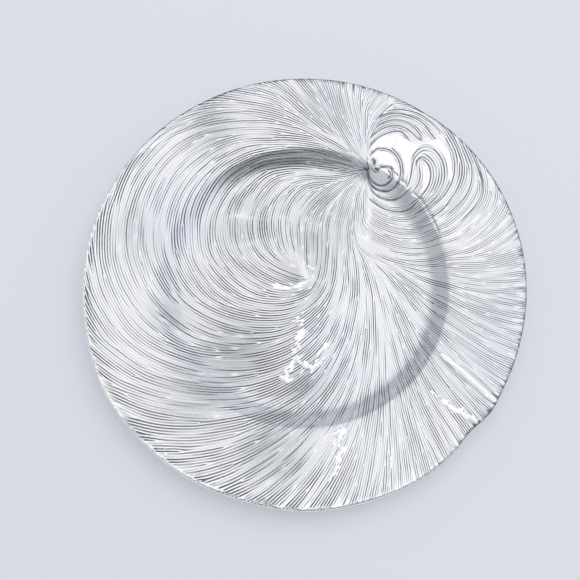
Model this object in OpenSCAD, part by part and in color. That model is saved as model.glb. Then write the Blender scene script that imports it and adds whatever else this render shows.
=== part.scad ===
// Charger plate with a free-form rim: a pressed glass plate under a bright
// silver plating, with a sprayed coat on its underside. It stands on a foot
// ring at z = 0, and its well is centred on the Z axis.

/* [Plate] */
// Mean diameter across the free-form rim
plate_d = 330; // [270:1:400]
// Height of the rim's edge above the table, before the rim's waves
edge_h = 20.5; // [16:0.5:32]
// Thickness of the pressed glass
glass_t = 3.4; // [2.4:0.1:5]

/* [Well] */
// Diameter of the flat well
well_d = 186; // [160:1:204]
// Diameter of the crease where the wall meets the rim
crease_d = 220; // [206:1:240]
// Rise of the wall from the well to the crease
wall_rise = 8; // [4:0.5:10]

/* [Rim] */
// How far the outline wanders in and out for each whole share in its table
wander = 1; // [0:0.1:2]
// Height of the slow waves along the edge
wave_h = 0.9; // [0:0.1:2]
// Direction of the radial fold, seen from above
fold_angle = 320; // [0:1:359]
// Height of the fold's step at the edge
fold_h = 1.4; // [0:0.1:3]
// How far the edge steps in at the fold
fold_jog = 1.8; // [0:0.1:4]

/* [Foot] */
// Mean diameter of the foot ring
foot_d = 150; // [120:1:156]
// Width of the foot ring
foot_w = 5; // [3:0.5:8]
// Height of the foot ring
foot_h = 2; // [1:0.1:4]

/* [Layers] */
// Thickness given to the silver plating
plating_t = 0.1; // [0.05:0.05:0.4]
// Thickness given to the coat on the underside
coat_t = 0.15; // [0.05:0.05:0.4]
// Clearance between each layer and the glass
layer_gap = 0.02; // [0.01:0.01:0.05]

/* [Hidden] */

// Radii and heights of the pressed form
plate_r = plate_d / 2;
well_r = well_d / 2;
crease_r = crease_d / 2;
foot_in = foot_d / 2 - foot_w / 2;
foot_out = foot_d / 2 + foot_w / 2;
well_z = foot_h + glass_t;
crease_z = well_z + wall_rise;
edge_r = glass_t / 2;

// Steps around the plate, up the wall, out along the rim and round the edge
turns = 72;
wall_steps = 5;
rim_steps = 4;
edge_steps = 4;

// How deep the foot ring is rooted in the glass
foot_root = glass_t / 4;

// Half-width of the fold, in degrees
fold_spread = 12;

// Mean radius at every 15 degrees, counter-clockwise from +X, as shares of the plate's radius
outline_shares = [0.996, 1.004, 1.011, 1.014, 1.011, 1.011, 1.007, 1.006, 1.003, 1.003, 1.002, 1.001,
                  0.997, 0.996, 1.003, 0.996, 0.994, 0.990, 0.996, 0.992, 0.992, 0.979, 0.985, 0.988];

// Height of the edge at every 30 degrees, as shares of the wave height
wave_shares = [0.2, -0.6, -1, 0.3, 0.8, 0.1, -0.7, 0.4, 1, -0.2, -0.5, 0.9];

// A closed table read at an angle, with smooth bends through its shares
function closed_read(table, angle) =
    let (n = len(table), place = angle / 360 * n, i = floor(place), t = place - i,
         a = table[(i + n - 1) % n], b = table[i % n], c = table[(i + 1) % n], d = table[(i + 2) % n])
    b + t * (c - a) / 2 + t * t * (a - 5 * b / 2 + 2 * c - d / 2) + t * t * t * (3 * (b - c) + d - a) / 2;

// The fold's step at an angle: out and up on one side of it, in and down on the other
function fold_share(angle) =
    let (off = ((angle - fold_angle + 540) % 360 - 180) / fold_spread)
    abs(off) < 1 ? sin(180 * off) * pow(cos(90 * off), 2) : 0;

// Plan radius of the edge at an angle
function outline_r(angle) =
    plate_r * (1 + wander * (closed_read(outline_shares, angle) - 1)) + fold_jog * fold_share(angle);

// How far the edge is lifted from its mean height at an angle
function edge_lift(angle) =
    wave_h * closed_read(wave_shares, angle) + fold_h * fold_share(angle);

angles = [for (i = [0:turns - 1]) 360 * i / turns];
outline = [for (a = angles) outline_r(a) * [cos(a), sin(a)]];
outline_x = [for (p = outline) p.x];
outline_y = [for (p = outline) p.y];
outline_middle = [max(outline_x) + min(outline_x), max(outline_y) + min(outline_y)] / 2;

// Pressed form in half section, from the well to where the edge turns round: [radius, height]
function ease(t) = t * t * (3 - 2 * t);
rim_slope = (edge_h - crease_z) / (plate_r - crease_r);
rim_reach = plate_r - edge_r - crease_r;
form = concat(
    [for (i = [0:wall_steps])
        let (t = i / wall_steps) [well_r + (crease_r - well_r) * t, well_z + wall_rise * ease(t)]],
    [for (i = [1:rim_steps])
        let (out = rim_reach * i / rim_steps) [crease_r + out, crease_z + rim_slope * out]]
);
function dropped(line, by) = [for (p = line) [p.x, p.y - by]];
function reversed(line) = [for (i = [len(line) - 1:-1:0]) line[i]];

// Round edge of a shell whose faces lie drop_top and drop_bottom under the form
function edge_line(drop_top, drop_bottom, reach) =
    let (end = form[len(form) - 1],
         mid = (drop_top + drop_bottom) / 2, half = (drop_bottom - drop_top) / 2)
    [for (i = [1:edge_steps - 1])
        let (a = 90 - 180 * i / edge_steps) [end.x + reach * cos(a), end.y - mid + half * sin(a)]];

// A half section carried round the plate. Past the crease it is stretched to the outline and waves.
function carried(p, angle) =
    let (t = max(0, (p.x - crease_r) / (plate_r - crease_r)),
         r = p.x + t * (outline_r(angle) - plate_r))
    [r * cos(angle) - t * outline_middle.x,
     r * sin(angle) - t * outline_middle.y,
     p.y + t * t * edge_lift(angle)];

// Solid of revolution of a line from the axis out and back to the axis
module carried_disc(line) {
    n = len(line);
    points = concat([for (a = angles, p = line) carried(p, a)], [[0, 0, line[0].y], [0, 0, line[n - 1].y]]);
    top = turns * n;
    faces = concat(
        [for (i = [0:turns - 1], j = [0:n - 2])
            let (a = i * n + j, b = (i + 1) % turns * n + j) each [[a, b + 1, a + 1], [a, b, b + 1]]],
        [for (i = [0:turns - 1])
            let (a = i * n, b = (i + 1) % turns * n) each [[top, b, a], [top + 1, a + n - 1, b + n - 1]]]
    );
    polyhedron(points, faces);
}

// Solid of revolution of a closed line that stays clear of the axis
module carried_ring(line) {
    n = len(line);
    points = [for (a = angles, p = line) carried(p, a)];
    faces = [for (i = [0:turns - 1], j = [0:n - 1])
        let (a = i * n, b = (i + 1) % turns * n, k = (j + 1) % n)
            each [[a + j, b + k, a + k], [a + j, b + j, b + k]]];
    polyhedron(points, faces);
}

// Top face, round edge and underside of the pressed glass, on an exact foot ring
module glass_body() color([0.86, 0.93, 0.91]) {
    carried_disc(concat(form, edge_line(0, glass_t, edge_r), reversed(dropped(form, glass_t))));
    rotate_extrude($fn = turns * 2)
        translate([foot_in, 0]) square([foot_w, foot_h + foot_root]);
}

// Bright film over the top face, rolled over the edge
module silver_plating() color([0.93, 0.94, 0.96]) {
    inner = -layer_gap;
    outer = inner - plating_t;
    carried_disc(concat(
        dropped(form, outer),
        edge_line(outer, glass_t - outer, edge_r - outer),
        reversed(edge_line(inner, glass_t - inner, edge_r - inner)),
        reversed(dropped(form, inner))
    ));
}

// Sprayed coat on the underside, inside and outside of the foot ring
module back_coat() color([0.66, 0.67, 0.69]) {
    inner = glass_t + layer_gap;
    outer = inner + coat_t;
    start = [(foot_out + layer_gap) / cos(180 / turns), well_z];
    line = concat([start], form);
    carried_ring(concat(dropped(line, inner), reversed(dropped(line, outer))));
    translate([0, 0, well_z - outer]) cylinder(h = coat_t, r = foot_in - layer_gap, $fn = turns * 2);
}

glass_body();
silver_plating();
back_coat();
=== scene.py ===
"""Charger plate in pressed glass: a combed, swirling top face under bright silver
plating, a satin lacquer coat on the underside, and a bare foot ring.

The form repeats the CAD's own values, apart from a wider bend at the wall's foot.
The combing is grown here from listed strokes: they give the direction of the
ridges, and a filter drawn along that direction turns seeded noise into long ridges
and grooves at a chosen pitch.
"""
import math

import bpy
import numpy as np
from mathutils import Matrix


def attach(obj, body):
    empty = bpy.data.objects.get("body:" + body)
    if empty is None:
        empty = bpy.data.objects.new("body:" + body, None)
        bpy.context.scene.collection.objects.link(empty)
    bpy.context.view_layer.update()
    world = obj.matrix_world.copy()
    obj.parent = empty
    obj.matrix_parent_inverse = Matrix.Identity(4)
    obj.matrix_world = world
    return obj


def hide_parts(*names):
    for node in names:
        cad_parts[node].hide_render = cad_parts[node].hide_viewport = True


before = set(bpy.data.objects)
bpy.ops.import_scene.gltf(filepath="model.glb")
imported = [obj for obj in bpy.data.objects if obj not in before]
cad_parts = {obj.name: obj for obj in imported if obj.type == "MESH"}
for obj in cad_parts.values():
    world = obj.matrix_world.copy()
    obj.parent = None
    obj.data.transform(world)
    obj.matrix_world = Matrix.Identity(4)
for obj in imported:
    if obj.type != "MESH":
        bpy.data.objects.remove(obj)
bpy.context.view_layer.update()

MM = 0.001

# Form, in millimetres, as in the CAD
PLATE_R = 165.0
EDGE_H = 20.5
GLASS_T = 3.4
WELL_R = 93.0
CREASE_R = 110.0
WALL_RISE = 8.0
WAVE_H = 0.9
FOLD_ANGLE = 320.0
FOLD_SPREAD = 12.0
FOLD_H = 1.4
FOLD_JOG = 1.8
FOOT_R = 75.0
FOOT_W = 5.0
FOOT_H = 2.0
PLATING_T = 0.1
COAT_T = 0.15
LAYER_GAP = 0.02
TURNS = 72
WELL_Z = FOOT_H + GLASS_T
CREASE_Z = WELL_Z + WALL_RISE
EDGE_R = GLASS_T / 2
TOP_END = PLATE_R - EDGE_R
RIM_SLOPE = (EDGE_H - CREASE_Z) / (PLATE_R - CREASE_R)
FILM = LAYER_GAP + PLATING_T
OUTLINE_SHARES = [0.996, 1.004, 1.011, 1.014, 1.011, 1.011, 1.007, 1.006, 1.003, 1.003, 1.002, 1.001,
                  0.997, 0.996, 1.003, 0.996, 0.994, 0.990, 0.996, 0.992, 0.992, 0.979, 0.985, 0.988]
WAVE_SHARES = [0.2, -0.6, -1, 0.3, 0.8, 0.1, -0.7, 0.4, 1, -0.2, -0.5, 0.9]

# The wall starts further in than in the CAD, on a wider bend, as its soft shade asks
WALL_FOOT_R = WELL_R - 5.0
WALL_BEND = 1.65

# Eased corner of the foot ring, and how far the coat stops from the ring
FOOT_EASE = 0.6
COAT_STOP = 0.7

# Radii of the rings inside the foot, of the glass's underside and of the coat
GLASS_RINGS = (60.0, 40.0, 20.0, 6.0)
COAT_RINGS = (0, 10, 25, 40, 55)

# Combing, in millimetres
FIELD_HALF = 172.0
FLOW_COUNT = 260
COMB_COUNT = 1500
COMB_PITCH = 1.75
COMB_SEED = 7
COMB_ROUNDS = 80
COMB_REACH = 1.1
COMB_GAIN = np.float32(0.25)
FINER_RIGHT = 0.3
FINER_FOCUS = 0.4
GROOVE_DEPTH = 0.5
GROOVE_FROM = -0.12
GROOVE_RANGE = 0.85
SHEET_COUNT = 1000
SHEET_TRIANGLES = 95000

# Steps of the filter along and across the ridges, in reaches and in pitches, with their weights
ALONG_STEPS = ((-2, 0.5), (-1, 0.8), (1, 0.8), (2, 0.5))
ACROSS_STEPS = ((-1, 0.25), (-0.5, -0.75), (0.5, -0.75), (1, 0.25))
ALONG_SUM = np.float32(1 + sum(weight for _, weight in ALONG_STEPS))

# Weight and softness of a guide and of a stroke's mark in the ridges' direction
GUIDE_PULL = (0.15, 0.1)
STROKE_PULL = (0.008, 0.0077)

# Widths in shares: a pressed stroke, the groove left by it, the clear band beside it, a full nick
PRESSED_WIDTH = 0.004
STROKE_WIDTH = 0.005
CLEAR_WIDTH = 0.006
NICK_WIDTH = 0.004
FAR = 9.0

# Height of a splash and depth of a nick in millimetres, then depths as shares and a nick's wave
SPLASH_RISE = 0.14
NICK_DROP = 0.25
STROKE_DEPTH = 0.9
NICK_DEPTH = 1.1
DEEPEST = 1.4
NICK_WAVE = 1.6

# Beads of painted shade round the rolled edge, and the slower sine that shifts them
BEADS = 150
BEAD_DRIFT = 23

# The place where the ridges run together, in shares of the plate's radius
FOCUS = (0.298, 0.553)

# Places where the pitch differs: centre and spread in shares, then how many millimetres more
PITCH_SPOTS = [(0.60, 0.60, 0.15, 0.9), (0.40, 0.44, 0.09, -0.3), (-0.42, -0.64, 0.33, 0.25)]

# Ridge directions read off the plate: x and y in shares of the radius, then degrees
GUIDES = [
    (-0.3, 0.9, 170), (0, 0.9, 130), (0.2, 0.9, 90), (0.33, 0.9, 58),
    (-0.55, 0.75, 23), (-0.4, 0.78, 10), (-0.25, 0.78, 0), (-0.1, 0.75, 165), (0.05, 0.78, 137),
    (0.15, 0.78, 112), (0.24, 0.8, 88),
    (-0.7, 0.6, 50), (-0.5, 0.6, 40), (-0.3, 0.6, 28), (-0.1, 0.6, 15), (0.1, 0.68, 155),
    (-0.85, 0.4, 75), (-0.65, 0.45, 66), (-0.45, 0.45, 60), (-0.2, 0.45, 60), (0, 0.45, 56),
    (0.13, 0.45, 58),
    (-0.92, 0.2, 92), (-0.7, 0.25, 87), (-0.5, 0.25, 90), (-0.3, 0.25, 97), (-0.1, 0.25, 100),
    (0.1, 0.25, 92),
    (0.2, 0.25, 90), (0.29, 0.25, 92), (0.42, 0.25, 148), (0.6, 0.22, 172), (0.75, 0.25, 30),
    (0.9, 0.25, 36),
    (-0.92, 0, 107), (-0.7, 0.05, 112), (-0.5, 0.05, 122), (-0.35, 0.05, 133), (-0.2, 0.05, 146),
    (-0.08, 0.04, 160),
    (0.1, 0.08, 78), (0.2, 0.05, 86), (0.3, 0.05, 102), (0.45, 0.05, 128), (0.6, 0.05, 152),
    (0.75, 0.05, 175),
    (0.92, 0.05, 10),
    (-0.88, -0.15, 122), (-0.65, -0.15, 138), (-0.45, -0.15, 152), (-0.25, -0.15, 170), (-0.1, -0.1, 5),
    (0.02, -0.1, 35), (0.12, -0.12, 60), (0.22, -0.15, 78), (0.35, -0.15, 97), (0.5, -0.15, 120),
    (0.65, -0.15, 140), (0.8, -0.15, 160), (0.93, -0.15, 168),
    (-0.8, -0.35, 143), (-0.6, -0.35, 158), (-0.4, -0.35, 175), (-0.2, -0.35, 13), (0, -0.35, 36),
    (0.15, -0.35, 62), (0.3, -0.35, 83), (0.45, -0.35, 107), (0.6, -0.35, 125), (0.75, -0.3, 145),
    (0.9, -0.33, 156),
    (-0.78, -0.55, 158), (-0.55, -0.55, 172), (-0.35, -0.55, 4), (-0.15, -0.55, 20), (0, -0.55, 38),
    (0.15, -0.55, 60), (0.3, -0.55, 80), (0.45, -0.55, 105), (0.6, -0.55, 124), (0.75, -0.5, 135),
    (-0.6, -0.75, 177), (-0.4, -0.75, 13), (-0.2, -0.75, 28), (0, -0.75, 48), (0.15, -0.75, 64),
    (0.3, -0.75, 78), (0.43, -0.75, 98), (0.57, -0.72, 120),
    (-0.3, -0.9, 22), (-0.1, -0.92, 40), (0.1, -0.92, 57), (0.3, -0.9, 78), (0.45, -0.86, 97),
]

# Strokes of the comb that the ridges follow, in shares of the plate's radius
RING = [(0.315, 0.62), (0.35, 0.65), (0.40, 0.645), (0.44, 0.61), (0.457, 0.56), (0.455, 0.51), (0.435, 0.47)]
RING_ECHO = [(0.42, 0.65), (0.448, 0.62), (0.464, 0.58), (0.469, 0.53), (0.465, 0.50)]
COIL = [(0.307, 0.562), (0.305, 0.541), (0.321, 0.506), (0.358, 0.480), (0.399, 0.482), (0.418, 0.506),
        (0.418, 0.541), (0.399, 0.562), (0.365, 0.562)]
HOOK = [(0.485, 0.46), (0.50, 0.50), (0.508, 0.55), (0.512, 0.59), (0.525, 0.625), (0.55, 0.65),
        (0.58, 0.657), (0.61, 0.645), (0.635, 0.61), (0.655, 0.56), (0.66, 0.51), (0.65, 0.46),
        (0.62, 0.41), (0.57, 0.36), (0.52, 0.33)]
HOOK_CORE = [(0.53, 0.57), (0.535, 0.59), (0.55, 0.60), (0.575, 0.59), (0.59, 0.56), (0.597, 0.52),
             (0.59, 0.48), (0.57, 0.44), (0.54, 0.405), (0.50, 0.38)]
HOOK_INSIDE = [(0.51, 0.44), (0.53, 0.46), (0.545, 0.49), (0.548, 0.53), (0.54, 0.56)]
ARCS = [
    [(0.31, 0.66), (0.35, 0.70), (0.40, 0.725), (0.455, 0.735), (0.478, 0.72), (0.495, 0.695)],
    [(0.32, 0.71), (0.36, 0.74), (0.41, 0.76), (0.46, 0.76), (0.50, 0.74), (0.53, 0.71), (0.545, 0.69)],
    [(0.34, 0.755), (0.39, 0.78), (0.44, 0.787), (0.49, 0.775), (0.53, 0.745), (0.56, 0.70)],
    [(0.35, 0.80), (0.40, 0.82), (0.45, 0.823), (0.50, 0.81), (0.55, 0.785), (0.59, 0.74), (0.62, 0.69)],
    [(0.42, 0.84), (0.47, 0.84), (0.53, 0.825), (0.58, 0.795), (0.63, 0.745), (0.65, 0.715)],
]
BOWS = [
    [(0.307, 0.512), (0.32, 0.485), (0.344, 0.464), (0.390, 0.450), (0.429, 0.463), (0.452, 0.490)],
    [(0.315, 0.472), (0.34, 0.44), (0.372, 0.420), (0.422, 0.408), (0.471, 0.424), (0.500, 0.452)],
    [(0.31, 0.42), (0.35, 0.385), (0.40, 0.36), (0.45, 0.352), (0.50, 0.36), (0.53, 0.385)],
]
OUTER_BOWS = [
    [(0.67, 0.69), (0.685, 0.65), (0.70, 0.60), (0.705, 0.55), (0.70, 0.50), (0.68, 0.45), (0.64, 0.40),
     (0.58, 0.355)],
    [(0.70, 0.70), (0.72, 0.66), (0.735, 0.61), (0.742, 0.55), (0.737, 0.50), (0.72, 0.45), (0.69, 0.40),
     (0.65, 0.35), (0.60, 0.31)],
    [(0.75, 0.65), (0.77, 0.60), (0.785, 0.55), (0.785, 0.50), (0.77, 0.44), (0.73, 0.38), (0.67, 0.32)],
    [(0.80, 0.58), (0.82, 0.52), (0.83, 0.47), (0.82, 0.40), (0.78, 0.34), (0.72, 0.28)],
]
LEADS = [
    [(0.45, 0.875), (0.52, 0.86), (0.58, 0.825), (0.64, 0.78), (0.67, 0.74)],
    [(0.86, 0.50), (0.87, 0.44), (0.86, 0.38), (0.82, 0.32), (0.76, 0.27)],
    [(0.315, 0.36), (0.36, 0.33), (0.42, 0.31), (0.48, 0.30), (0.54, 0.315)],
    [(0.32, 0.30), (0.38, 0.265), (0.45, 0.24), (0.52, 0.235), (0.60, 0.25)],
    [(0.32, 0.22), (0.40, 0.175), (0.48, 0.155), (0.56, 0.155), (0.65, 0.175)],
    [(-0.10, 0.64), (0.0, 0.645), (0.1, 0.63), (0.2, 0.595), (0.29, 0.56)],
    [(0.10, 0.70), (0.18, 0.65), (0.24, 0.60), (0.29, 0.565)],
    [(0.17, 0.78), (0.22, 0.69), (0.26, 0.63), (0.295, 0.58)],
    [(0.22, 0.85), (0.25, 0.75), (0.28, 0.65), (0.298, 0.59)],
    [(0.285, 0.80), (0.288, 0.72), (0.295, 0.65), (0.30, 0.60)],
    [(0.31, 0.62), (0.31, 0.68), (0.33, 0.76), (0.37, 0.83), (0.41, 0.88)],
    [(0.05, 0.60), (0.15, 0.585), (0.22, 0.57), (0.29, 0.552)],
    [(0.05, 0.53), (0.15, 0.535), (0.22, 0.545), (0.29, 0.55)],
    [(0.10, 0.42), (0.17, 0.48), (0.23, 0.52), (0.285, 0.545)],
    [(0.18, 0.33), (0.215, 0.43), (0.25, 0.49), (0.29, 0.54)],
    [(0.245, 0.32), (0.265, 0.43), (0.285, 0.51), (0.296, 0.54)],
    [(0.295, 0.33), (0.298, 0.43), (0.298, 0.53)],
]
LOCKED = [RING, RING_ECHO, COIL, HOOK, HOOK_CORE, HOOK_INSIDE] + ARCS + BOWS + OUTER_BOWS

# Plain places that the comb left smooth: closed outlines in shares
PLAIN = [
    [(0.318, 0.662), (0.35, 0.694), (0.385, 0.712), (0.42, 0.722), (0.455, 0.722), (0.475, 0.700),
     (0.50, 0.678), (0.535, 0.664), (0.57, 0.668), (0.60, 0.68), (0.635, 0.69), (0.655, 0.67),
     (0.68, 0.62), (0.695, 0.57), (0.693, 0.50), (0.68, 0.47), (0.676, 0.52), (0.67, 0.57),
     (0.65, 0.62), (0.62, 0.655), (0.575, 0.666),
     (0.535, 0.65), (0.507, 0.61), (0.50, 0.55), (0.495, 0.50), (0.48, 0.475), (0.470, 0.50), (0.474, 0.56),
     (0.455, 0.62), (0.41, 0.652), (0.35, 0.658), (0.325, 0.64)],
    [(0.325, 0.612), (0.35, 0.638), (0.40, 0.632), (0.43, 0.60), (0.447, 0.56), (0.447, 0.515), (0.43, 0.495),
     (0.426, 0.51), (0.426, 0.545), (0.41, 0.57), (0.38, 0.572), (0.35, 0.575), (0.347, 0.60)],
    [(0.312, 0.54), (0.327, 0.512), (0.36, 0.488), (0.396, 0.49), (0.411, 0.51), (0.411, 0.538),
     (0.395, 0.553), (0.345, 0.553)],
    [(0.56, 0.56), (0.58, 0.55), (0.588, 0.52), (0.583, 0.48), (0.565, 0.445), (0.54, 0.42), (0.555, 0.46),
     (0.562, 0.50)],
]

# Nicks and folds pressed deeper than the combing: a stroke and its half width, in shares
NICKS = [
    ([(0.328, 0.576), (0.335, 0.588)], 0.010), ([(0.320, 0.592), (0.328, 0.602)], 0.003),
    ([(0.347, 0.548), (0.372, 0.559), (0.393, 0.553)], 0.003), ([(0.342, 0.550), (0.350, 0.544)], 0.0055),
    ([(0.399, 0.541), (0.411, 0.520), (0.399, 0.506)], 0.0035),
    ([(0.321, 0.555), (0.333, 0.541), (0.353, 0.534)], 0.003),
    ([(0.411, 0.558), (0.418, 0.548)], 0.004), ([(0.425, 0.535), (0.442, 0.518)], 0.003),
    ([(0.462, 0.497), (0.487, 0.468)], 0.003), ([(0.440, 0.478), (0.462, 0.462)], 0.002),
    ([(0.512, 0.435), (0.535, 0.410), (0.556, 0.392)], 0.003),
    ([(0.30, 0.60), (0.302, 0.575), (0.312, 0.555)], 0.003),
    ([(0.557, 0.39), (0.580, 0.34), (0.606, 0.285), (0.626, 0.23)], 0.0027),
    ([(0.262, 0.580), (0.290, 0.562)], 0.0025), ([(0.258, 0.553), (0.290, 0.552)], 0.003),
    ([(0.268, 0.528), (0.292, 0.545)], 0.0025), ([(0.283, 0.598), (0.295, 0.570)], 0.0022),
    ([(0.290, 0.510), (0.297, 0.540)], 0.0022), ([(0.292, 0.560), (0.303, 0.548)], 0.006),
    ([(0.548, 0.696), (0.555, 0.688)], 0.004), ([(0.478, 0.712), (0.488, 0.698)], 0.003),
    ([(0.595, -0.345), (0.693, -0.447), (0.792, -0.548)], 0.0022),
    ([(0.622, -0.325), (0.719, -0.42), (0.82, -0.520)], 0.0016),
]

# Places where the comb pressed deeper: centre and spread in shares, then how much more
DEEPER = [
    (-0.15, -0.30, 0.16, 0.5), (-0.05, -0.45, 0.15, 0.5), (-0.45, -0.65, 0.25, -0.1),
    (-0.20, 0.52, 0.16, 0.3), (-0.32, 0.55, 0.14, 0.6), (0.0, -0.05, 0.12, 0.6), (0.45, 0.30, 0.16, -0.4),
    (-0.90, 0.30, 0.15, 0.4), (-0.02, 0.60, 0.12, 0.2), (0.29, 0.555, 0.05, -0.75),
    (-0.62, -0.20, 0.08, 0.45), (-0.58, -0.32, 0.07, 0.4), (0.0, -0.30, 0.14, 0.3),
    (0.63, -0.05, 0.08, 0.4), (-0.64, 0.02, 0.06, 0.4), (0.85, 0.05, 0.22, -0.6),
    (-0.55, -0.40, 0.22, -0.35), (0.80, -0.30, 0.20, -0.35), (0.15, 0.25, 0.18, -0.2),
    (-0.78, 0.05, 0.16, -0.3), (-0.75, -0.25, 0.14, -0.4), (-0.30, 0.75, 0.20, -0.3),
    (0.10, 0.88, 0.16, -0.2), (-0.60, 0.60, 0.15, -0.4), (0.36, 0.52, 0.075, -0.8),
    (0.35, -0.80, 0.22, -0.2), (0.75, 0.30, 0.18, -0.3), (0.46, 0.44, 0.09, -0.3),
    (-0.65, 0.15, 0.28, -0.25), (0.10, -0.62, 0.20, -0.3), (0.30, 0.88, 0.25, -0.2),
    (0.45, -0.30, 0.2, -0.15),
]

# Places with fine hatching between the grooves: centre and spread in shares, then how much
HATCHED = [
    (0.09, 0.27, 0.16, 0.8), (0.0, 0.02, 0.12, 0.6), (-0.28, 0.30, 0.13, 0.6), (-0.75, 0.22, 0.12, 0.6),
    (-0.30, -0.30, 0.14, 0.7), (-0.47, -0.50, 0.15, 0.7), (-0.12, -0.76, 0.14, 0.9), (0.0, -0.46, 0.11, 0.6),
    (-0.45, 0.74, 0.13, 0.6), (-0.61, -0.14, 0.08, 0.9), (0.84, -0.10, 0.12, 0.3), (0.12, 0.88, 0.12, 0.4),
]

# Splashes where the comb skipped and left smooth raised patches: a stroke and its half width, in shares
SPLASHES = [
    ([(-0.035, -0.15), (-0.01, -0.20), (-0.03, -0.265), (-0.037, -0.32), (-0.005, -0.36), (0.03, -0.388),
      (0.063, -0.37), (0.073, -0.315), (0.10, -0.285)], 0.017, 0.5),
    ([(-0.01, -0.355), (-0.055, -0.365), (-0.085, -0.41), (-0.07, -0.455)], 0.018, 0.5),
    ([(0.17, -0.67), (0.125, -0.70), (0.155, -0.75), (0.135, -0.80), (0.115, -0.86)], 0.015, 0.5),
    ([(0.30, -0.79), (0.29, -0.86)], 0.008, 0.5), ([(0.37, -0.75), (0.365, -0.82)], 0.007, 0.5),
    ([(-0.14, -0.005), (-0.08, -0.022), (-0.02, 0.0), (0.035, 0.045)], 0.011, 0.5),
    ([(0.0, 0.10), (0.045, 0.07)], 0.007, 0.5),
    ([(0.610, -0.338), (0.706, -0.433), (0.81, -0.538)], 0.0125, 0.0),
    ([(0.60, -0.54), (0.64, -0.575), (0.68, -0.60), (0.725, -0.63)], 0.013, 0.4),
    ([(0.55, -0.50), (0.60, -0.54)], 0.006, 0.5),
    ([(0.455, 0.482), (0.464, 0.473)], 0.009, 0.1), ([(0.508, 0.421), (0.518, 0.410)], 0.009, 0.1),
]


def closed_read(table, turn):
    """A closed table read at a turn from 0 to 1: a cubic through four neighbours at a time."""
    table = np.asarray(table, float)
    n = len(table)
    place = np.mod(turn, 1.0) * n
    i = np.floor(place).astype(int)
    t = place - i
    a, b, c, d = (table[(i + k) % n] for k in (-1, 0, 1, 2))
    return b + t * (c - a) / 2 + t**2 * (a - 2.5 * b + 2 * c - d / 2) + t**3 * (3 * (b - c) + d - a) / 2


def fold_share(angle):
    """The fold's step: a sine across its spread, under a squared cosine that lets it die away."""
    off = (np.mod(np.degrees(angle) - FOLD_ANGLE + 540, 360) - 180) / FOLD_SPREAD
    return np.where(abs(off) < 1, np.sin(np.pi * off) * np.cos(np.pi / 2 * off) ** 2, 0)


def outline_r(angle):
    """Plan radius of the edge: the outline table times the plate's radius, plus the fold's jog."""
    return PLATE_R * closed_read(OUTLINE_SHARES, angle / math.tau) + FOLD_JOG * fold_share(angle)


def edge_lift(angle):
    """Lift of the edge: the wave table times the wave height, plus the fold's height."""
    return WAVE_H * closed_read(WAVE_SHARES, angle / math.tau) + FOLD_H * fold_share(angle)


def outline_middle():
    """Middle of the outline's box, from the same points round the plate as in the CAD."""
    a = np.arange(TURNS) * math.tau / TURNS
    x, y = outline_r(a) * np.cos(a), outline_r(a) * np.sin(a)
    return (x.max() + x.min()) / 2, (y.max() + y.min()) / 2


MIDDLE = outline_middle()


def form_height(r):
    """Top face at a plain radius: flat well, a wall on an eased S, then the rim's straight slope.

    The S is eased over a power of its share of the way, which widens the bend at its foot.
    """
    t = np.clip((r - WALL_FOOT_R) / (CREASE_R - WALL_FOOT_R), 0, 1) ** WALL_BEND
    return WELL_Z + WALL_RISE * t * t * (3 - 2 * t) + np.clip(r - CREASE_R, 0, None) * RIM_SLOPE


def carried(r, angle, z):
    """Plain radius, angle and height to place: past the crease, stretched to the outline and lifted."""
    t = np.clip((r - CREASE_R) / (PLATE_R - CREASE_R), 0, None)
    out = r + t * (outline_r(angle) - PLATE_R)
    return np.stack([out * np.cos(angle) - t * MIDDLE[0], out * np.sin(angle) - t * MIDDLE[1],
                     z + t * t * edge_lift(angle)], -1)


def stroke_points(stroke, step=0.008):
    """Points and tangents along a stroke: a cubic through four neighbouring marks at a time."""
    p = np.array(stroke, float)
    q = np.concatenate([2 * p[:1] - p[1:2], p, 2 * p[-1:] - p[-2:-1]])
    a, b, c, d = (q[k:len(q) - 3 + k, None] for k in range(4))
    n = max(2, int(np.hypot(*(p[1:] - p[:-1]).T).max() / step))
    t = (np.arange(n) / n)[None, :, None]
    place = b + t * (c - a) / 2 + t**2 * (a - 2.5 * b + 2 * c - d / 2) + t**3 * (3 * (b - c) + d - a) / 2
    tangent = (c - a) / 2 + 2 * t * (a - 2.5 * b + 2 * c - d / 2) + 3 * t**2 * (3 * (b - c) + d - a) / 2
    return place.reshape(-1, 2), tangent.reshape(-1, 2)


def comb_direction(x, y):
    """Ridge direction: doubled angles of all marks, averaged by the inverse fourth power of distance."""
    marks = [(gx, gy, math.radians(2 * d), *GUIDE_PULL) for gx, gy, d in GUIDES]
    for stroke in LOCKED + LEADS:
        p, t = stroke_points(stroke)
        turn = 2 * np.arctan2(t[:, 1], t[:, 0])
        marks += [(*at, a, *STROKE_PULL) for at, a in zip(p.tolist(), turn.tolist())]
    cos2, sin2 = np.zeros(x.shape), np.zeros(x.shape)
    for mx, my, turn, weight, soft in marks:
        w = weight / ((x - mx) ** 2 + (y - my) ** 2 + soft**2) ** 2
        cos2 += w * math.cos(turn)
        sin2 += w * math.sin(turn)
    size = np.hypot(cos2, sin2)
    return cos2 / size, sin2 / size


def sampled(field, x, y):
    """A square field read at places in millimetres, straight between its four nearest cells."""
    n = field.shape[0]
    u = np.clip((x + FIELD_HALF) / (2 * FIELD_HALF) * (n - 1), 0, n - 1.001)
    v = np.clip((y + FIELD_HALF) / (2 * FIELD_HALF) * (n - 1), 0, n - 1.001)
    i, j = u.astype(int), v.astype(int)
    u, v = u - i, v - j
    low = field[j, i] * (1 - u) + field[j, i + 1] * u
    high = field[j + 1, i] * (1 - u) + field[j + 1, i + 1] * u
    return low * (1 - v) + high * v


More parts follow.
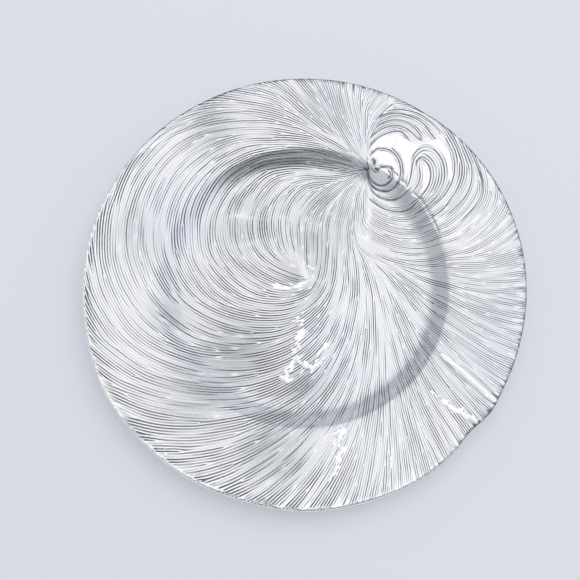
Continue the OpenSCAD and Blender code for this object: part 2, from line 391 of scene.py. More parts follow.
def softened(a):
    """A field blurred by one, two, one weights along its rows and its columns."""
    a = a.copy()
    a[1:-1] = (a[:-2] + a[2:] + 2 * a[1:-1]) / 4
    a[:, 1:-1] = (a[:, :-2] + a[:, 2:] + 2 * a[:, 1:-1]) / 4
    return a


def blurred(a, rounds):
    """A field softened over and over."""
    for _ in range(rounds):
        a = softened(a)
    return a


def smooth(t):
    """A step from 0 to 1 with level ends."""
    t = np.clip(t, 0, 1)
    return t * t * (3 - 2 * t)


def spot(x, y, at_x, at_y, spread):
    """A soft round spot: one in its middle, falling off as a bell over its spread."""
    return np.exp(-((x - at_x) ** 2 + (y - at_y) ** 2) / spread**2)


def distance_to(stroke, x, y, reach):
    """Distance from a stroke in shares, worked out only in the stroke's own box widened by the reach."""
    far = np.full(x.shape, FAR)
    p, _ = stroke_points(stroke, 0.002)
    p = np.concatenate([p, [stroke[-1]]])
    rows = np.flatnonzero((y[:, 0] > p[:, 1].min() - reach) & (y[:, 0] < p[:, 1].max() + reach))
    cols = np.flatnonzero((x[0] > p[:, 0].min() - reach) & (x[0] < p[:, 0].max() + reach))
    box = np.s_[rows[0]:rows[-1] + 1, cols[0]:cols[-1] + 1]
    near = far[box]
    for px, py in p.tolist():
        near = np.minimum(near, np.hypot(x[box] - px, y[box] - py))
    far[box] = near
    return far


def inside(outline, x, y):
    """One inside a closed outline and nought outside, by counting the sides to the right of a place."""
    hits = np.zeros(x.shape, int)
    for (ax, ay), (bx, by) in zip(outline, outline[1:] + outline[:1]):
        if ay != by:
            hits += ((y >= ay) != (y >= by)) & (x < ax + (y - ay) * (bx - ax) / (by - ay))
    return (hits % 2).astype(float)


def field_places():
    """Places of the field's cells, in millimetres."""
    line = np.linspace(-FIELD_HALF, FIELD_HALF, COMB_COUNT)
    return np.meshgrid(line, line)


def cell_at(x, y):
    """Flat index of the field's cell nearest to a place, held inside the field."""
    cell = 2 * FIELD_HALF / (COMB_COUNT - 1)
    i, j = (np.clip(np.rint((v + FIELD_HALF) / cell).astype(np.int32), 0, COMB_COUNT - 1) for v in (x, y))
    return j * COMB_COUNT + i


def comb_taps(x, y):
    """The filter's taps along and across the ridges: the cells that each cell reads, and their weights.

    Steps along are counted in reaches. Steps across are counted in pitches, a pitch being the way
    from one ridge to the next. Both are shorter near the focus, where the ridges crowd together.
    """
    coarse = np.linspace(-FIELD_HALF, FIELD_HALF, FLOW_COUNT) / PLATE_R
    cos2, sin2 = comb_direction(*np.meshgrid(coarse, coarse))
    turn = 0.5 * np.arctan2(sampled(sin2, x, y), sampled(cos2, x, y))
    along_x, along_y = np.cos(turn), np.sin(turn)
    sx, sy = x / PLATE_R, y / PLATE_R
    to_focus = np.hypot(sx - FOCUS[0], sy - FOCUS[1])
    pitch = (COMB_PITCH - FINER_RIGHT * smooth(0.5 + 0.9 * (sx - 0.1))
             - FINER_FOCUS * np.exp(-(to_focus / 0.17) ** 2))
    for at_x, at_y, spread, more in PITCH_SPOTS:
        pitch = pitch + more * spot(sx, sy, at_x, at_y, spread)
    reach = COMB_REACH - 0.3 * np.exp(-(to_focus / 0.3) ** 2) - 0.2 * spot(sx, sy, 0.02, 0.05, 0.18)
    along = [(cell_at(x + k * reach * along_x, y + k * reach * along_y), np.float32(weight))
             for k, weight in ALONG_STEPS]
    across = [(cell_at(x - k * pitch * along_y, y + k * pitch * along_x), np.float32(weight))
              for k, weight in ACROSS_STEPS]
    return along, across


def drawn(a, taps):
    """A field plus its own weighted values at the taps."""
    flat = a.ravel()
    return a + sum(weight * flat.take(index) for index, weight in taps)


def ridge_wave(noise, along, across, pressed):
    """The ridge wave, high on the lands and low in the grooves, scaled to a mean size of one.

    Noise is averaged along the ridges and sharpened across them at half and whole pitches, over
    and over, until ridges and grooves of the chosen pitch have grown. The locked strokes are
    pressed in as grooves each time.
    """
    u = noise.normal(size=(COMB_COUNT, COMB_COUNT)).astype(np.float32)
    for _ in range(COMB_ROUNDS):
        u = drawn(drawn(softened(u), along), across)
        u = np.tanh(COMB_GAIN * u - pressed)
    for _ in range(3):
        u = softened(drawn(u, along) / ALONG_SUM)
    return u / abs(u).mean()


def groove_depths(noise, along, sx, sy):
    """Depth of the grooves: slow noise drawn out along them, changed by spots, and deeper on the wall."""
    depth = blurred(noise.normal(size=(COMB_COUNT, COMB_COUNT)).astype(np.float32), 8)
    for _ in range(40):
        depth = drawn(depth, along) / ALONG_SUM
    depth = softened(depth)
    depth = 0.53 + 0.42 * np.tanh(1.4 * depth / depth.std())
    for at_x, at_y, spread, more in DEEPER:
        depth *= 1 + more * spot(sx, sy, at_x, at_y, spread)
    out = np.hypot(sx, sy)
    depth *= 1 + 0.45 * (smooth((out - 0.545) / 0.05) * smooth((0.69 - out) / 0.05))
    return depth


def plain_share(sx, sy, to_stroke):
    """Share of a place that is plain: inside an outline, softened, and clear of the strokes."""
    plain = blurred(sum(inside(outline, sx, sy) for outline in PLAIN), 4)
    return np.minimum(plain, 1) * (1 - np.exp(-(to_stroke / CLEAR_WIDTH) ** 2))


def nick_share(sx, sy):
    """Share of a place that a nick takes: a bell across its stroke, fainter for a narrow one."""
    nick = np.zeros(sx.shape)
    for stroke, half_width in NICKS:
        near = distance_to(stroke, sx, sy, 4 * half_width)
        nick = np.maximum(nick, min(1, half_width / NICK_WIDTH) * np.exp(-(near / half_width) ** 2))
    return nick


def splash_share(noise, along, sx, sy):
    """Share of a place under a splash: near its stroke, with a lumpy border and comb marks left in it."""
    lumps = blurred(noise.normal(size=(COMB_COUNT, COMB_COUNT)), 30)
    lumps = np.clip(lumps / lumps.std(), -2, 2)
    marks = blurred(noise.normal(size=(COMB_COUNT, COMB_COUNT)).astype(np.float32), 14)
    for _ in range(5):
        marks = drawn(marks, along)
    marks = smooth((marks / marks.std() - 0.4) / 0.4)
    blob = np.zeros(sx.shape)
    for stroke, half_width, lumpy in SPLASHES:
        near = distance_to(stroke, sx, sy, 4 * half_width)
        shape = smooth((half_width * (1 + lumpy * lumps) - near) / (0.003 + 0.003 * lumpy))
        blob = np.maximum(blob, shape * (1 - (lumpy > 0.45) * marks))
    return blob


def combed_relief():
    """The combing over the plan: heights for the form and for the thinning, and what the finish reads.

    The fields are the height; a wavy height that gives every ridge the same weight, so that the
    thinned sheet's points follow the faint ones as well; the height of the patches and nicks alone;
    the ridge wave; the grooves' depth; the bare share. Grooves are bolder at the lower left edge.
    """
    x, y = field_places()
    along, across = comb_taps(x, y)
    sx, sy = x / PLATE_R, y / PLATE_R
    to_stroke = np.full(x.shape, FAR)
    for stroke in LOCKED:
        to_stroke = np.minimum(to_stroke, distance_to(stroke, sx, sy, 0.02))
    noise = np.random.default_rng(COMB_SEED)
    u = ridge_wave(noise, along, across, np.exp(-(to_stroke / PRESSED_WIDTH) ** 2).astype(np.float32))
    depth = groove_depths(noise, along, sx, sy)
    plain = plain_share(sx, sy, to_stroke)
    nick = nick_share(sx, sy)
    blob = splash_share(noise, along, sx, sy)

    out = np.hypot(sx, sy)
    edge = smooth((out - 0.93) / 0.05) * smooth(0.3 - 0.9 * (1.5 * sx + 0.5 * sy))
    wave = (u - 0.45 * edge) * (1 - nick) - NICK_WAVE * nick
    deep = depth * (1 + 0.7 * edge) * (1 - plain) * (1 - blob)
    deep = np.maximum(deep, STROKE_DEPTH * np.exp(-(to_stroke / STROKE_WIDTH) ** 2))
    deep = np.clip(np.maximum(deep, NICK_DEPTH * nick), 0, DEEPEST)
    bare = np.clip(plain + blob, 0, 1)
    patches = SPLASH_RISE * blob - NICK_DROP * nick
    height = patches - GROOVE_DEPTH * smooth((GROOVE_FROM - wave) / GROOVE_RANGE) * deep
    wavy = height + (2 * patches + 0.3 * u * (1 - bare) - height) * smooth((0.955 - out) / 0.03)
    return height, wavy, patches, wave, deep, bare * (1 - np.minimum(3 * nick, 1))


def plain_place(x, y):
    """Plain radius and angle under a place: the carrying undone by a few rounds of substitution."""
    r, angle = np.hypot(x, y), np.arctan2(y, x)
    for _ in range(4):
        t = np.clip((r - CREASE_R) / (PLATE_R - CREASE_R), 0, None)
        px, py = x + t * MIDDLE[0], y + t * MIDDLE[1]
        angle = np.arctan2(py, px)
        r = np.hypot(px, py) - t * (outline_r(angle) - PLATE_R)
    return r, angle


def combed_slopes():
    """Slopes of the top face with its patches over the plan: differences between neighbouring cells."""
    x, y = field_places()
    r, angle = plain_place(x, y)
    t = np.clip((r - CREASE_R) / (PLATE_R - CREASE_R), 0, None)
    return np.gradient(form_height(r) + t * t * edge_lift(angle) + PATCHES, x[0, 1] - x[0, 0])


RELIEF, WAVY, PATCHES, WAVE, DEEP, BARE = combed_relief()


def top_sheet():
    """Combed top face and rolled edge as one disc of points.

    A square grid is bent to a disc: the larger of its two coordinates is the way out along the
    section, and their ratio is the angle. The section is the pressed form, then a half circle
    round the edge. The combing's height is added on top and dies away down the edge. Each square
    is split along the diagonal that climbs less, so the triangles' sides run along the ridges.
    """
    n = SHEET_COUNT
    line = np.linspace(-1, 1, n + 1)
    a, b = np.meshgrid(line, line)
    wide = abs(a) > abs(b)
    way = np.where(wide, a, b)
    safe = np.where(way == 0, 1, way)
    turn = np.where(wide, math.pi / 4 * b / safe, math.pi / 2 - math.pi / 4 * a / safe)
    angle = np.arctan2(way * np.sin(turn), way * np.cos(turn))
    bend_r = EDGE_R + FILM
    s = abs(way) * (TOP_END + math.pi * bend_r)
    roll = np.clip((s - TOP_END) / bend_r, 0, math.pi)
    r = np.minimum(s, TOP_END) + bend_r * np.sin(roll)
    z = form_height(np.minimum(s, TOP_END)) - EDGE_R + bend_r * np.cos(roll)
    p = carried(r, angle, z)
    comb = sampled(WAVY, p[..., 0], p[..., 1]) * smooth(1 - roll / 2.2)
    p[..., 2] += comb
    i = np.arange((n + 1) ** 2).reshape(n + 1, n + 1)
    corners = [i[:-1, :-1], i[:-1, 1:], i[1:, 1:], i[1:, :-1]]
    a, b, c, d = (k.ravel() for k in corners)
    level = comb.ravel()
    along = (abs(level[a] - level[c]) <= abs(level[b] - level[d]))[:, None]
    first = np.where(along, np.stack([a, b, c], -1), np.stack([a, b, d], -1))
    second = np.where(along, np.stack([a, c, d], -1), np.stack([b, c, d], -1))
    return p.reshape(-1, 3), np.concatenate([first, second])


def mesh_object(name, points, faces):
    """A mesh from points in millimetres and an array of faces with the same number of corners."""
    mesh = bpy.data.meshes.new(name)
    corners = faces.shape[1]
    mesh.vertices.add(len(points))
    mesh.vertices.foreach_set("co", (points * MM).astype(np.float32).ravel())
    mesh.loops.add(faces.size)
    mesh.loops.foreach_set("vertex_index", faces.astype(np.int32).ravel())
    mesh.polygons.add(len(faces))
    mesh.polygons.foreach_set("loop_start", np.arange(0, faces.size, corners, dtype=np.int32))
    mesh.update(calc_edges=True)
    mesh.validate()
    mesh.polygons.foreach_set("use_smooth", np.ones(len(mesh.polygons), bool))
    obj = bpy.data.objects.new(name, mesh)
    bpy.context.scene.collection.objects.link(obj)
    return obj


def thinned(points, faces, triangles):
    """The sheet with its flat places collapsed and the combing's true height given to the points left."""
    draft = mesh_object("draft", points, faces)
    collapse = draft.modifiers.new("collapse", "DECIMATE")
    collapse.ratio = triangles / len(faces)
    collapse.use_collapse_triangulate = True
    graph = bpy.context.evaluated_depsgraph_get()
    mesh = draft.evaluated_get(graph).to_mesh()
    co = np.empty(len(mesh.vertices) * 3)
    mesh.vertices.foreach_get("co", co)
    corners = np.empty(len(mesh.loops), int)
    mesh.loops.foreach_get("vertex_index", corners)
    old = draft.data
    bpy.data.objects.remove(draft)
    bpy.data.meshes.remove(old)
    points, faces = co.reshape(-1, 3) / MM, corners.reshape(-1, 3)
    points[:, 2] += sampled(RELIEF - WAVY, points[:, 0], points[:, 1])
    flat = np.cross(points[faces[:, 1]] - points[faces[:, 0]], points[faces[:, 2]] - points[faces[:, 0]])
    normal = np.zeros_like(points)
    for k in range(3):
        np.add.at(normal, faces[:, k], flat)
    return points, faces, normal / np.linalg.norm(normal, axis=1)[:, None]


def border(faces):
    """The open border of a sheet as directed pairs, in the order of the loop."""
    pairs = np.concatenate([faces[:, [0, 1]], faces[:, [1, 2]], faces[:, [2, 0]]])
    count = int(faces.max()) + 1
    forward = pairs[:, 0] * count + pairs[:, 1]
    backward = pairs[:, 1] * count + pairs[:, 0]
    rim = pairs[~np.isin(forward, backward)]
    follows = dict(rim.tolist())
    loop = [int(rim[0, 0])]
    while follows[loop[-1]] != loop[0]:
        loop.append(follows[loop[-1]])
    return np.array(loop)


def strip(outer, inner):
    """Triangles between two loops with the same count, closing on themselves."""
    a, b = outer, np.roll(outer, -1)
    c, d = inner, np.roll(inner, -1)
    return np.concatenate([np.stack([b, a, c], -1), np.stack([b, c, d], -1)])


def silver_film(points, faces, normal, loop):
    """Plating: the combed sheet, its copy set in by the plating's thickness, and the band between."""
    n = len(points)
    inner = points - PLATING_T * normal
    return (np.concatenate([points, inner]),
            np.concatenate([faces, faces[:, ::-1] + n, strip(loop, loop + n)]))


def underside_section():
    """Glass underside from the rolled edge in to the axis, round the foot ring with eased corners."""
    rim = np.linspace(TOP_END, CREASE_R, 9)[1:]
    wall = np.linspace(CREASE_R, WALL_FOOT_R, 11)[1:]
    line = [(r, float(form_height(r)) - GLASS_T) for r in np.concatenate([rim, wall])]
    ease = FOOT_EASE
    turn = np.radians([0, 22.5, 45, 67.5, 90])
    outer, inner = FOOT_R + FOOT_W / 2, FOOT_R - FOOT_W / 2
    line += [(outer + ease * (1 - math.sin(a)), FOOT_H - ease * (1 - math.cos(a))) for a in turn]
    line += [(outer - ease * (1 - math.cos(a)), ease * (1 - math.sin(a))) for a in turn]
    line += [(inner + ease * (1 - math.sin(a)), ease * (1 - math.cos(a))) for a in turn]
    line += [(inner - ease * (1 - math.cos(a)), FOOT_H - ease * (1 - math.sin(a))) for a in turn]
    line += [(r, FOOT_H) for r in GLASS_RINGS]
    return line


def pressed_glass(points, faces, normal, loop):
    """Glass: the combed sheet set in by film and clearance, joined to rings of the underside."""
    n = len(points)
    top = points - FILM * normal
    t = (TOP_END - CREASE_R) / (PLATE_R - CREASE_R)
    end = points[loop]
    angle = np.arctan2(end[:, 1] + t * MIDDLE[1], end[:, 0] + t * MIDDLE[0])
    parts, joins, last = [top], [faces], loop
    for r, z in underside_section():
        ring = n + np.arange(len(loop))
        parts.append(carried(np.full(len(loop), r), angle, np.full(len(loop), z)))
        joins.append(strip(last, ring))
        last, n = ring, n + len(loop)
    parts.append(np.array([[0, 0, FOOT_H]]))
    joins.append(np.stack([np.roll(last, -1), last, np.full(len(last), n)], -1))
    return np.concatenate(parts), np.concatenate(joins)


def turned_shell(section, turns=360):
    """A section of radii and heights carried round the plate, wound to face outwards.

    A section that closes on itself makes a ring. One that starts and ends on the axis makes a
    disc, with a fan of triangles round each of its two middles.
    """
    section = np.array(section, float)
    disc = section[0, 0] == 0
    line = section[1:-1] if disc else section
    k = len(line)
    angle = np.arange(turns) * math.tau / turns
    r, z = (np.tile(line[:, column], (turns, 1)) for column in (0, 1))
    p = carried(r, angle[:, None] + np.zeros((1, k)), z)
    a = np.arange(turns * k).reshape(turns, k)
    b = np.roll(a, -1, 0)
    c, d = np.roll(a, -1, 1), np.roll(b, -1, 1)
    spans = k - 1 if disc else k
    faces = [np.stack([q[:, :spans] for q in corners], -1).reshape(-1, 3)
             for corners in ((a, c, d), (a, d, b))]
    points = [p.reshape(-1, 3)]
    if disc:
        points.append([[0, 0, section[0, 1]], [0, 0, section[-1, 1]]])
        first, last = np.full(turns, turns * k), np.full(turns, turns * k + 1)
        faces += [np.stack([first, a[:, 0], b[:, 0]], -1), np.stack([last, b[:, -1], a[:, -1]], -1)]
    return np.concatenate(points), np.concatenate(faces)


def coat_sections():
    """Coat sections: a ring outside the foot up to the edge, and a disc inside the foot."""
    start = FOOT_R + FOOT_W / 2 + COAT_STOP
    radii = np.concatenate([np.linspace(start, WALL_FOOT_R, 4), np.linspace(WALL_FOOT_R, CREASE_R, 13)[1:],
                            np.linspace(CREASE_R, TOP_END, 9)[1:]])
    under = form_height(radii) - GLASS_T - LAYER_GAP
    outer = [(r, z) for r, z in zip(radii, under)] + [(r, z - COAT_T) for r, z in zip(radii, under)][::-1]
    stop = FOOT_R - FOOT_W / 2 - COAT_STOP
    radii = np.array([*COAT_RINGS, stop])
    level = FOOT_H - LAYER_GAP
    inner = [(r, level) for r in radii] + [(r, level - COAT_T) for r in radii[::-1]]
    return outer, inner


class Sock:
    """A node socket that adds Math nodes when it is used in an expression."""

    def __init__(self, tree, link):
        self.tree, self.link = tree, link

    def _math(self, operation, *values):
        """One Math node, fed with links or with constants on its own sockets."""
        node = self.tree.nodes.new("ShaderNodeMath")
        node.operation = operation
        for slot, value in zip(node.inputs, values):
            if isinstance(value, Sock):
                self.tree.links.new(value.link, slot)
            else:
                slot.default_value = value
        return Sock(self.tree, node.outputs[0])

    def __add__(self, other):
        return self._math("ADD", self, other)

    def __radd__(self, other):
        return self._math("ADD", other, self)

    def __sub__(self, other):
        return self._math("SUBTRACT", self, other)

    def __rsub__(self, other):
        return self._math("SUBTRACT", other, self)

    def __mul__(self, other):
        return self._math("MULTIPLY", self, other)

    def __rmul__(self, other):
        return self._math("MULTIPLY", other, self)

    def __truediv__(self, other):
        return self._math("DIVIDE", self, other)

    def clamp(self):
        """This value held between nought and one."""
        node = self._math("ADD", self, 0.0)
        node.link.node.use_clamp = True
        return node

    def step(self, low, high):
        """A smooth step of this value from low to high."""
        t = ((self - low) / (high - low)).clamp()
        return t * t * (3.0 - 2.0 * t)


class Nodes:
    """A node tree whose nodes come from one method."""

    def __init__(self, tree):
        self.tree = tree
        tree.nodes.clear()

    def add(self, kind, settings=None, out=0, **values):
        """A node with its settings, and values or links for its sockets, by name or as i0, i1."""
        node = self.tree.nodes.new(kind)
        for name, value in (settings or {}).items():
            setattr(node, name, value)
        for name, value in values.items():
            slot = self.socket(node, name)
            if isinstance(value, Sock):
                self.tree.links.new(value.link, slot)
            else:
                slot.default_value = value
        return Sock(self.tree, node.outputs[out]) if node.outputs else node

    @staticmethod
    def socket(node, name):
        """An input by its number, as i0, or by its name with underscores for spaces."""
        if name[0] == "i" and name[1:].isdigit():
            return node.inputs[int(name[1:])]
        return node.inputs[name.replace("_", " ")]

    def mix(self, factor, a, b):
        """A colour between a and b."""
        return self.add("ShaderNodeMix", {"data_type": "RGBA"}, out=2, i0=factor, i6=a, i7=b)

    def noise(self, scale, detail):
        """Noise over the piece's own coordinates; the scale is per metre."""
        where = self.add("ShaderNodeTexCoord", out=3)
        return self.add("ShaderNodeTexNoise", Vector=where, Scale=scale, Detail=detail, Roughness=0.5)


def material(name):
    """A new material and the method that fills its tree."""
    m = bpy.data.materials.new(name)
    m.use_nodes = True
    return m, Nodes(m.node_tree)


def finish_surface(nodes, shader):
    """The shader led to the material's output."""
    nodes.add("ShaderNodeOutputMaterial", Surface=shader)


# Colours of the silver: lands, cool places, hatched ones, bare ones painted white as a highlight, and painted
# groove shade
LANDS = (0.89, 0.898, 0.91, 1)
COOL_LANDS = (0.825, 0.838, 0.888, 1)
HATCHED_LANDS = (0.60, 0.61, 0.64, 1)
BARE_HIGHLIGHT_SILVER = (0.975, 0.975, 0.975, 1)
GROOVE_SHADE = (0.19, 0.20, 0.215, 1)


def plated_silver():
    """Bright plating: nearly white lands, a painted grey shade down in the grooves, faint brushed bloom.

    The grooves open where the ridge wave falls below a level, as deep as their own depth says. The
    lands round over towards them. Hatched places are greyer, with one more fine line down the middle
    of each land. The bare patches are smoother than the lands, and painted whiter as a highlight.
    """
    m, n = material("plated_silver")
    wave, deep, bare, hatch = (n.add("ShaderNodeAttribute", {"attribute_name": k}, out=2)
                               for k in ("wave", "deep", "bare", "hatch"))
    groove = (-1.0 * wave).step(-GROOVE_FROM, GROOVE_RANGE - GROOVE_FROM) * deep
    groove = groove + 0.4 * hatch * wave.step(0.7, 1.4)
    shoulder = (-1.0 * wave).step(-0.5, 0.4) * (1.0 - bare)
    bloom = n.noise(22.0, 3.0)
    fine = n.noise(900.0, 2.0)
    cool = n.noise(9.0, 2.0).step(0.45, 0.75)
    lands = n.mix(cool, LANDS, COOL_LANDS)
    lands = n.mix(0.3 * hatch, lands, HATCHED_LANDS)
    # Painted highlight: smooth patches, splashes and the lower left lip are painted whiter than the lands
    lands = n.mix(bare, lands, BARE_HIGHLIGHT_SILVER)
    # Painted shade: the grooves, the hatch lines and the rolled edge are greyed with the groove shade colour
    colour = n.mix((groove * 1.2).clamp(), lands, GROOVE_SHADE)
    rough = (0.10 + 0.08 * bloom + 0.14 * groove - 0.06 * bare).clamp()
    height = 0.03 * fine - 0.25 * groove - 0.05 * shoulder
    bump = n.add("ShaderNodeBump", Strength=1.0, Distance=MM, Height=height)
    shader = n.add("ShaderNodeBsdfPrincipled", Base_Color=colour, Metallic=1.0, Roughness=rough, Normal=bump)
    finish_surface(n, shader)
    return m


# Colours of the glass, and of the lacquer's dark and pale clouds and its flake
GLASS_COLOUR = (0.90, 0.96, 0.94, 1)
GLASS_IOR = 1.5
LACQUER_DARK = (0.52, 0.53, 0.55, 1)
LACQUER_PALE = (0.62, 0.63, 0.65, 1)
LACQUER_FLAKE = (0.80, 0.81, 0.83, 1)


def clear_glass():
    """Pressed glass, faintly green, with a scuffed contact face at the foot."""
    m, n = material("clear_glass")
    height = n.add("ShaderNodeSeparateXYZ", out=2, Vector=n.add("ShaderNodeTexCoord", out=3))
    scuff = (1.0 - height.step(0.00005, 0.0004)) * n.noise(700.0, 3.0).step(0.35, 0.7)
    shader = n.add("ShaderNodeBsdfPrincipled", Base_Color=GLASS_COLOUR, IOR=GLASS_IOR,
                   Transmission_Weight=1.0, Roughness=0.03 + 0.4 * scuff)
    finish_surface(n, shader)
    return m


def satin_lacquer():
    """Sprayed silver-grey lacquer: fine metal flake, cloudy laps of the gun and an orange-peel skin."""
    m, n = material("satin_lacquer")
    cloud = n.noise(30.0, 3.0)
    flake = n.noise(2600.0, 1.0).step(0.5, 0.75)
    colour = n.mix(cloud.step(0.35, 0.7), LACQUER_DARK, LACQUER_PALE)
    colour = n.mix(flake * 0.35, colour, LACQUER_FLAKE)
    peel = n.noise(480.0, 2.0)
    bump = n.add("ShaderNodeBump", Strength=0.25, Distance=0.0002, Height=peel)
    shader = n.add("ShaderNodeBsdfPrincipled", Base_Color=colour, Metallic=0.35,
                   Roughness=0.38 + 0.12 * cloud, Normal=bump)
    finish_surface(n, shader)
    return m


def dress(obj, node, mat):
    """Give a piece its finish, and let it ride on the root in place of its node."""
    obj.data.materials.append(mat)
    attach(obj, "root")
    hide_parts(node)


def comb_shading(obj, normal):
    """What the finish reads on the plating's points, and the form's own normals away from the edge.

    The rolled edge is darkened by painted shade in beads: a sine round the plate, shifted by a slower
    one. They fade out at the lower left, where a bare lip painted white as a highlight takes their
    place. The normals are the form's slopes on the top face and run over to the mesh's own towards the edge.
    """
    mesh = obj.data
    at = np.empty(len(mesh.vertices) * 3)
    mesh.vertices.foreach_get("co", at)
    at = at.reshape(-1, 3) / MM
    r, angle = plain_place(at[:, 0], at[:, 1])
    # Painted shade: the rolled edge is darkened in beads round the plate
    beads = 0.75 + 0.25 * np.sin(BEADS * angle + 4 * np.sin(BEAD_DRIFT * angle))
    lower_left = smooth(0.2 - 1.2 * (at[:, 0] + at[:, 1]) / PLATE_R)
    rolled = smooth((r - TOP_END) / 0.6) * beads * (1 - lower_left)
    # Painted highlight: at the lower left the edge is made bare and white instead
    lip = smooth((r - TOP_END + 1.2) / 0.8) * lower_left
    wave, deep, bare = (sampled(field, at[:, 0], at[:, 1]) for field in (WAVE, DEEP, BARE))
    x, y = at[:, 0] / PLATE_R, at[:, 1] / PLATE_R
    hatch = sum(more * spot(x, y, at_x, at_y, spread) for at_x, at_y, spread, more in HATCHED)
    finish = {
        "wave": wave * (1 - rolled) - NICK_WAVE * rolled,
        "deep": np.maximum(deep * (1 - lip), rolled),
        "bare": np.maximum(bare, lip),
        "hatch": np.minimum(hatch, 1) * (1 - bare),
    }
    for name, values in finish.items():
        mesh.attributes.new(name, "FLOAT", "POINT").data.foreach_set("value", values.astype(np.float32))
    slope_y, slope_x = combed_slopes()
    own = np.stack([-sampled(slope_x, at[:, 0], at[:, 1]), -sampled(slope_y, at[:, 0], at[:, 1]),
                    np.ones(len(at))], -1)
    own /= np.linalg.norm(own, axis=1)[:, None]
    full = np.concatenate([normal, -normal])
    top = (np.arange(len(at)) < len(normal)) & (at[:, 2] > form_height(r) - 1.0)
    keep = (smooth((TOP_END - 0.3 - r) / 0.6) * top)[:, None]
    full = full * (1 - keep) + own * keep
    full /= np.linalg.norm(full, axis=1)[:, None]
    mesh.normals_split_custom_set_from_vertices(full.tolist())


# Half width of the floor in millimetres, then the studio's colours
FLOOR_HALF = 20000.0
FLOOR_COLOUR = (0.735, 0.75, 0.80, 1)
BACKDROP = (0.70, 0.72, 0.775, 1)
ROOM_TINT = (0.93, 0.965, 1.04, 1)
WHITE = (1.0, 1.0, 1.0, 1)

# Light of the panel, and what its strip and its dim half take off
PANEL_LEVEL = 1.12
STRIP_LOSS = 0.12
DIM_LOSS = 0.17

# Light of the room, its gains to the right and upwards, its dark front, and the gain low down
ROOM_LEVEL = 0.51
ROOM_RIGHT = 0.41
ROOM_TOP = 0.1
FRONT_LEVEL = 0.27
FRONT_RIGHT_LOSS = 0.12
LOW_GAIN = 0.3

# Lamp, with its place and sides in metres, its tilt in degrees and its power in watts
LAMP_PLACE = (0.4, 0.6, 1.9)
LAMP_SIDES = (2.4, 2.2)
LAMP_TILT = (-18, 12, 0)
LAMP_WATTS = 20.0

# Camera, with its rise in degrees, distance and target in metres, and focal length in pixels
CAMERA_RISE = 75.5
CAMERA_DISTANCE = 0.58
CAMERA_TARGET = (-0.0106, -0.0044, 0.005)
FOCAL_PIXELS = 766
PHOTO_PIXELS = 580
SENSOR_WIDTH = 36


def table_top():
    """A pale floor, one large quad under the plate.

    Its own glow, seen by the camera, gloss and glass, softens the shadow. Far out the glow takes
    over, so that the floor runs into the backdrop without a line.
    """
    floor = mesh_object("floor", np.array([[-1, -1, 0], [1, -1, 0], [1, 1, 0], [-1, 1, 0]]) * FLOOR_HALF,
                        np.array([[0, 1, 2, 3]]))
    m, n = material("pale_table")
    matt = n.add("ShaderNodeBsdfPrincipled", Base_Color=FLOOR_COLOUR, Roughness=0.9, Specular_IOR_Level=0.1)
    glow = n.add("ShaderNodeEmission", Color=BACKDROP)
    camera, glossy, through = (n.add("ShaderNodeLightPath", out=k) for k in (0, 3, 6))
    seen = (camera + glossy + through).clamp()
    place = n.add("ShaderNodeTexCoord", out=3)
    px, py = (n.add("ShaderNodeSeparateXYZ", out=k, Vector=place) for k in range(2))
    far = (px * px + py * py).step(0.15, 2.0)
    finish_surface(n, n.add("ShaderNodeMixShader", Fac=(0.45 + 0.55 * far) * seen, i1=matt, i2=glow))
    floor.data.materials.append(m)


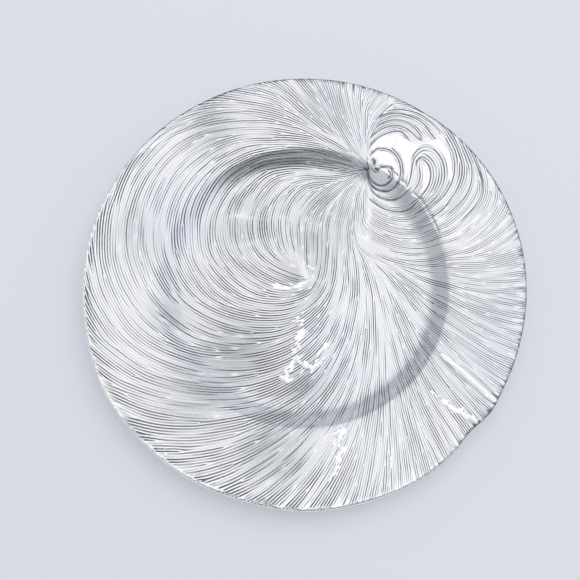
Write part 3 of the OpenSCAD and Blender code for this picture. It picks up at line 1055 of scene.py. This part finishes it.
def studio_light():
    """World and lamp: a white panel overhead in a grey room, paler on the right, dark in the front.

    The panel has soft sides, a dimmer left half and a darker strip across it. Near the horizon the
    room turns into the backdrop's colour.
    """
    world = bpy.data.worlds.new("studio")
    bpy.context.scene.world = world
    world.use_nodes = True
    n = Nodes(world.node_tree)
    way = n.add("ShaderNodeTexCoord", out=0)
    east, north, up = (n.add("ShaderNodeSeparateXYZ", out=k, Vector=way) for k in range(3))
    height = n.add("ShaderNodeMath", {"operation": "MAXIMUM"}, i0=up, i1=0.05)
    x, y = east / height, north / height
    panel = ((1.0 - x.step(0.06, 0.85)) * (1.0 - (-1.0 * x).step(0.06, 0.85))
             * (1.0 - y.step(0.34, 1.15)) * y.step(-0.45, 0.14))
    dim = (-1.0 * x).step(-0.02, 0.14) * (1.0 - y.step(0.16, 0.34))
    strip = y.step(0.30, 0.33) * (1.0 - y.step(0.36, 0.39))
    west = n.add("ShaderNodeMath", {"operation": "MAXIMUM"}, i0=-1.0 * east, i1=0.0)
    front = -1.0 * north - 0.45 * n.add("ShaderNodeMath", {"operation": "ABSOLUTE"}, i0=east) - 0.5 * west
    low = 1.0 - up.step(0.15, 0.45)
    shade = front.step(0.05, 0.35) * (1.0 - low)
    room = ((ROOM_LEVEL + ROOM_RIGHT * east.step(0.0, 0.7) + ROOM_TOP * up.step(0.4, 0.9)) * (1.0 - shade)
            + (FRONT_LEVEL - FRONT_RIGHT_LOSS * east.step(0.2, 0.55)) * shade + LOW_GAIN * low)
    colour = n.mix(panel, ROOM_TINT, WHITE)
    strength = room + panel * (PANEL_LEVEL - room) - panel * (STRIP_LOSS * strip + DIM_LOSS * dim)
    horizon = 1.0 - up.step(0.10, 0.25)
    sky = n.add("ShaderNodeBackground", Color=n.mix(horizon, colour, BACKDROP),
                Strength=strength + horizon * (1.0 - strength))
    n.add("ShaderNodeOutputWorld", Surface=sky)
    lamp = bpy.data.lights.new("key", "AREA")
    lamp.shape = "RECTANGLE"
    lamp.size, lamp.size_y = LAMP_SIDES
    lamp.energy = LAMP_WATTS
    key = bpy.data.objects.new("key", lamp)
    key.location = LAMP_PLACE
    key.rotation_euler = [math.radians(turn) for turn in LAMP_TILT]
    key.visible_glossy = False
    bpy.context.scene.collection.objects.link(key)


def photo_camera():
    """Camera at the photograph's angle: straight in front, steeply above, aimed a little off the centre."""
    rise = math.radians(CAMERA_RISE)
    data = bpy.data.cameras.new("camera")
    data.sensor_width = SENSOR_WIDTH
    data.lens = SENSOR_WIDTH * FOCAL_PIXELS / PHOTO_PIXELS
    camera = bpy.data.objects.new("camera", data)
    x, y, z = CAMERA_TARGET
    camera.location = (x, y - CAMERA_DISTANCE * math.cos(rise), z + CAMERA_DISTANCE * math.sin(rise))
    camera.rotation_euler = (math.pi / 2 - rise, 0, 0)
    bpy.context.scene.collection.objects.link(camera)
    bpy.context.scene.camera = camera


sheet_points, sheet_faces, sheet_normal = thinned(*top_sheet(), SHEET_TRIANGLES)
sheet = (sheet_points, sheet_faces, sheet_normal, border(sheet_faces))

plating = mesh_object("combed_silver_plating", *silver_film(*sheet))
comb_shading(plating, sheet_normal)
dress(plating, "silver_plating", plated_silver())

glass = mesh_object("combed_glass_body", *pressed_glass(*sheet))
dress(glass, "glass_body", clear_glass())

outer_coat, inner_coat = (turned_shell(section) for section in coat_sections())
coat = mesh_object("sprayed_back_coat", np.concatenate([outer_coat[0], inner_coat[0]]),
                   np.concatenate([outer_coat[1], inner_coat[1] + len(outer_coat[0])]))
dress(coat, "back_coat", satin_lacquer())

table_top()
studio_light()
photo_camera()
bpy.context.scene.view_settings.view_transform = "Standard"
